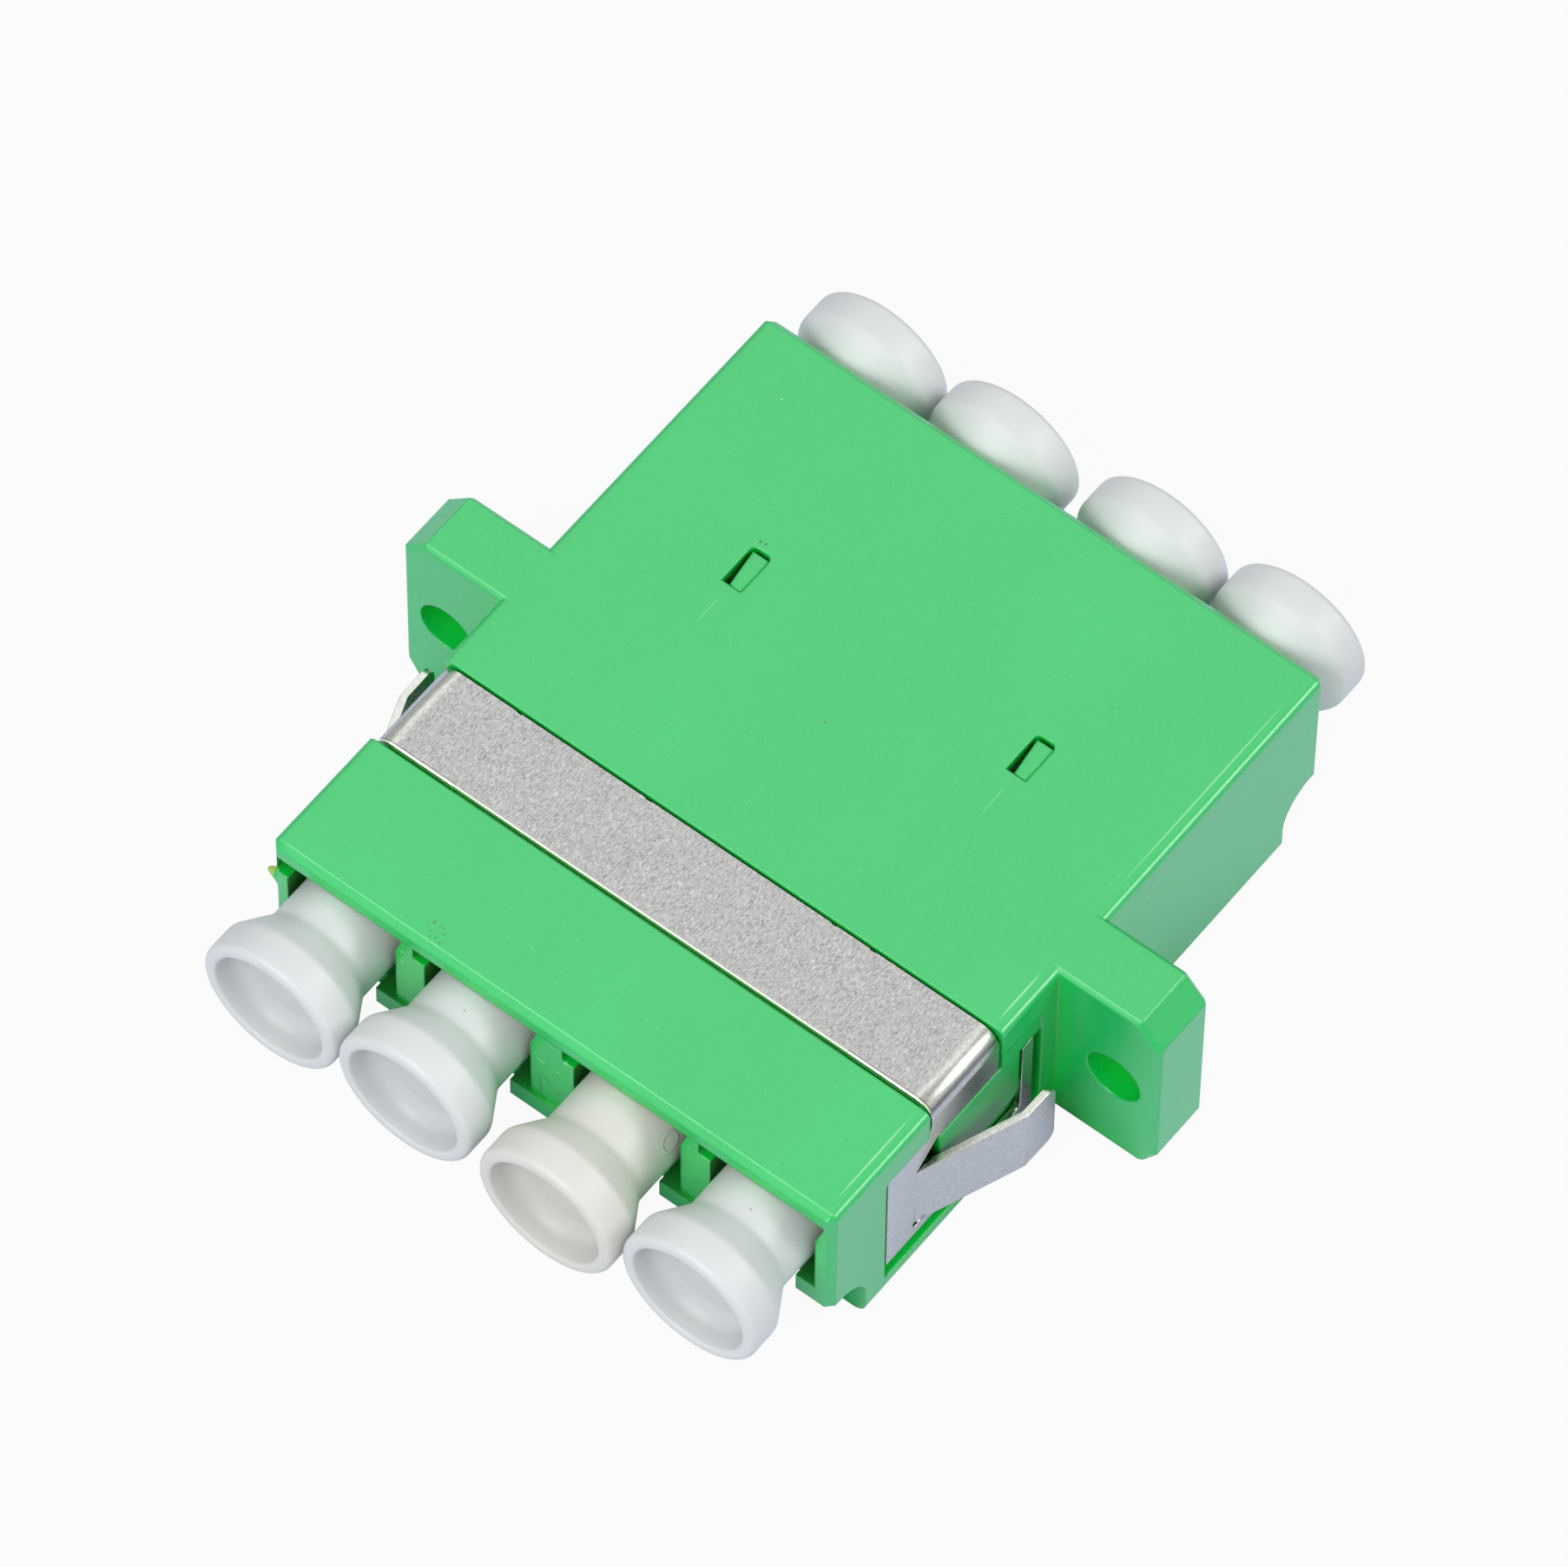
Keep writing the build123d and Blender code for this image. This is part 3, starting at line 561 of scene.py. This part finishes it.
def turnCap(lathe, node, name, place, facing, material):
    blank = bpy.data.objects.new("capBlank", bpy.data.meshes.new("capBlank"))
    bpy.context.scene.collection.objects.link(blank)
    modifier = blank.modifiers.new("turnedDustCap", "NODES")
    modifier.node_group = lathe
    wanted = {"Place": place, "Facing": facing, "Finish": material}
    for item in lathe.interface.items_tree:
        if item.in_out == "INPUT" and item.name in wanted:
            modifier[item.identifier] = wanted[item.name]
    depsgraph = bpy.context.evaluated_depsgraph_get()
    mesh = bpy.data.meshes.new_from_object(blank.evaluated_get(depsgraph), depsgraph=depsgraph)
    mesh.name = name
    blank.modifiers.remove(modifier)
    bpy.data.objects.remove(blank)
    cap = bpy.data.objects.new(name, mesh)
    bpy.context.scene.collection.objects.link(cap)
    cap.modifiers.new("evenNormals", "WEIGHTED_NORMAL")
    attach(cap, bodyOf[node])
    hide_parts(node)
    return cap


def portCentre(port):
    # two pairs of ports, a little further apart than the ports of one pair
    half = dustCap["pairPitch"] / 2
    pairCentre = dustCap["middlePitch"] / 2 + half
    pairSide = -1 if port < 3 else 1
    portSide = -1 if port % 2 else 1
    return pairSide * pairCentre + portSide * half


capWhite = milkyPlastic("capWhite", dustCap["colour"], False)
capWarm = milkyPlastic("capWarm", dustCap["warmColour"], True)
dustCapLathe = capLathe()
facingFront = (math.pi / 2, 0.0, 0.0)
facingRear = (-math.pi / 2, 0.0, 0.0)
for port in range(1, 5):
    x = portCentre(port)
    height = dustCap["axisHeight"]
    frontY = -dustCap["bodyEnd"] - dustCap["frontNecks"][port - 1]
    rearY = dustCap["bodyEnd"] + dustCap["rearNecks"][port - 1]
    frontPlastic = capWarm if port == dustCap["warmPort"] else capWhite
    turnCap(dustCapLathe, "front_cap_%d" % port, "frontCap%d" % port, (x, frontY, height), facingFront,
            frontPlastic)
    turnCap(dustCapLathe, "rear_cap_%d" % port, "rearCap%d" % port, (x, rearY, height), facingRear, capWhite)
print("eight dust caps turned")


# floor, lights and camera

floorPaper = {
    "size": 3.0, "gap": 0.02 * mm, "colour": (0.50, 0.54, 0.58, 1), "fibresPerMetre": (300, 300, 300),
    "fibreLift": 1.02, "roughness": 0.9, "shine": 0.1, "ownWhite": 0.94,
    # painted reflection: the floor's glow as seen in reflections, darker in the nooks beside the part
    "reflectedGlowColour": (0.87, 0.95, 1.17, 1), "reflectedGlowStrength": 0.93,
    "nookReach": 0.02, "nookShadeRange": (0.2, 0.55),
}
studio = {
    "worldStrength": 0.41, "roomColour": (0.97, 0.99, 1, 1), "roomStrength": 0.74,
    "horizonStrength": 0.30, "horizonHeight": 0.16,
    # direction, cosine at the rim, cosine at the core, strength
    "softBoxes": [((-0.32, 0.42, 0.85), 0.84, 0.95, 0.98), ((-0.32, -0.63, 0.71), 0.93, 0.98, 4.0),
                  ((0.645, 0.465, 0.606), 0.91, 0.97, 1.2)],
    # name, place and size in metres, power in watts
    "lamps": [("keyLamp", (0.06, -0.50, 0.50), 0.30, 2.10), ("edgeLamp", (-0.23, -0.45, 0.51), 0.12, 0.30),
              ("backLamp", (0.50, 0.36, 0.47), 0.30, 1.45)],
    "lampAim": (0, 0, 0.005),
}
cameraView = {
    "azimuth": 37.355, "elevation": 58.185, "roll": 0.802, "distance": 491.605 * mm,
    "focalPixels": 15455.7, "pixelsAcross": 1806, "slide": (0.768 * mm, -1.234 * mm),
    "aim": (0, 0.35 * mm, 4.9 * mm), "sensorWidth": 36, "clip": (0.01, 20),
}


def makeFloor():
    values = floorPaper
    half = values["size"] / 2
    low = -values["gap"]
    mesh = bpy.data.meshes.new("floor")
    corners = [(-half, -half, low), (half, -half, low), (half, half, low), (-half, half, low)]
    mesh.from_pydata(corners, [], [(0, 1, 2, 3)])
    floor = bpy.data.objects.new("floor", mesh)
    bpy.context.scene.collection.objects.link(floor)
    material, tree, shader = startMaterial("floorPaper")
    shader.inputs["Roughness"].default_value = values["roughness"]
    shader.inputs["Specular IOR Level"].default_value = values["shine"]
    place = put(tree, "ShaderNodeTexCoord").outputs["Object"]
    fibres = stretchedNoise(tree, place, values["fibresPerMetre"], 3.0)
    lighter = [min(v * values["fibreLift"], 1) for v in values["colour"]]
    tree.links.new(blendColour(tree, fibres, values["colour"], lighter), shader.inputs["Base Color"])
    ray = put(tree, "ShaderNodeLightPath")
    white = put(tree, "ShaderNodeEmission", {"Color": (1, 1, 1, 1), "Strength": 1.0})
    # painted reflection and shade: in glossy and transmission rays the floor is a glow, painted darker in the
    # nooks beside the part
    openness = put(tree, "ShaderNodeAmbientOcclusion", {"Distance": values["nookReach"]},
                   samples=8).outputs["AO"]
    lit = math2(tree, "MULTIPLY", between(tree, openness, *values["nookShadeRange"]), values["reflectedGlowStrength"])
    paintedFloorReflection = put(tree, "ShaderNodeEmission", {"Color": values["reflectedGlowColour"], "Strength": lit})
    seen = math2(tree, "MULTIPLY", ray.outputs["Is Camera Ray"], values["ownWhite"])
    camera = put(tree, "ShaderNodeMixShader", {0: seen, 1: shader.outputs[0], 2: white.outputs[0]})
    mirrored = math2(tree, "MAXIMUM", ray.outputs["Is Glossy Ray"], ray.outputs["Is Transmission Ray"])
    mix = put(tree, "ShaderNodeMixShader", {0: mirrored, 1: camera.outputs[0], 2: paintedFloorReflection.outputs[0]})
    output = next(n for n in tree.nodes if n.type == "OUTPUT_MATERIAL")
    tree.links.new(mix.outputs[0], output.inputs["Surface"])
    mesh.materials.append(material)


def makeWorld():
    # even light for the part, a bright room with soft boxes in its reflections, and white behind it
    world = bpy.data.worlds.new("studioWorld")
    bpy.context.scene.world = world
    world.use_nodes = True
    tree = world.node_tree
    tree.nodes.clear()
    light = put(tree, "ShaderNodeBackground", {"Color": (1, 1, 1, 1), "Strength": studio["worldStrength"]})
    white = put(tree, "ShaderNodeBackground", {"Color": (1, 1, 1, 1), "Strength": 1.0})
    direction = put(tree, "ShaderNodeTexCoord").outputs["Generated"]
    x, y, z = put(tree, "ShaderNodeSeparateXYZ", {0: direction}).outputs
    risen = between(tree, z, 0.0, studio["horizonHeight"])
    shine = fromTo(tree, risen, studio["horizonStrength"], studio["roomStrength"])
    for place, rim, core, strength in studio["softBoxes"]:
        towards = put(tree, "ShaderNodeVectorMath", {0: direction, 1: place},
                      operation="DOT_PRODUCT").outputs["Value"]
        box = math2(tree, "MULTIPLY", between(tree, towards, rim, core), strength)
        shine = math2(tree, "ADD", shine, box)
    room = put(tree, "ShaderNodeBackground", {"Color": studio["roomColour"], "Strength": shine})
    ray = put(tree, "ShaderNodeLightPath")
    seen = math2(tree, "MAXIMUM", ray.outputs["Is Camera Ray"], ray.outputs["Is Transmission Ray"])
    first = put(tree, "ShaderNodeMixShader", {0: ray.outputs["Is Glossy Ray"], 1: light.outputs[0],
                                              2: room.outputs[0]})
    mix = put(tree, "ShaderNodeMixShader", {0: seen, 1: first.outputs[0], 2: white.outputs[0]})
    output = put(tree, "ShaderNodeOutputWorld")
    tree.links.new(mix.outputs[0], output.inputs["Surface"])


def makeLamp(name, place, size, power):
    data = bpy.data.lights.new(name, "AREA")
    data.shape = "DISK"
    data.size = size
    data.energy = power
    lamp = bpy.data.objects.new(name, data)
    lamp.location = place
    lamp.rotation_euler = (Vector(studio["lampAim"]) - Vector(place)).to_track_quat("-Z", "Y").to_euler()
    bpy.context.scene.collection.objects.link(lamp)


def makeCamera():
    values = cameraView
    az, el, roll = (math.radians(values[k]) for k in ("azimuth", "elevation", "roll"))
    back = Vector((math.sin(az) * math.cos(el), -math.cos(az) * math.cos(el), math.sin(el)))
    right = (-back).cross(Vector((0, 0, 1))).normalized()
    up = right.cross(-back)
    turnedRight = math.cos(roll) * right + math.sin(roll) * up
    turnedUp = math.cos(roll) * up - math.sin(roll) * right
    acrossSlide, upSlide = values["slide"]
    place = Vector(values["aim"]) + back * values["distance"] - turnedRight * acrossSlide - turnedUp * upSlide
    data = bpy.data.cameras.new("photoCamera")
    data.sensor_fit = "HORIZONTAL"
    data.sensor_width = values["sensorWidth"]
    data.lens = values["focalPixels"] * values["sensorWidth"] / values["pixelsAcross"]
    data.clip_start, data.clip_end = values["clip"]
    camera = bpy.data.objects.new("photoCamera", data)
    rotation = Matrix((turnedRight, turnedUp, back)).transposed()
    camera.matrix_world = Matrix.Translation(place) @ rotation.to_4x4()
    bpy.context.scene.collection.objects.link(camera)
    bpy.context.scene.camera = camera


makeFloor()
makeWorld()
for lampValues in studio["lamps"]:
    makeLamp(*lampValues)
makeCamera()
bpy.context.scene.view_settings.view_transform = "Standard"
print("floor, lamps and camera set")
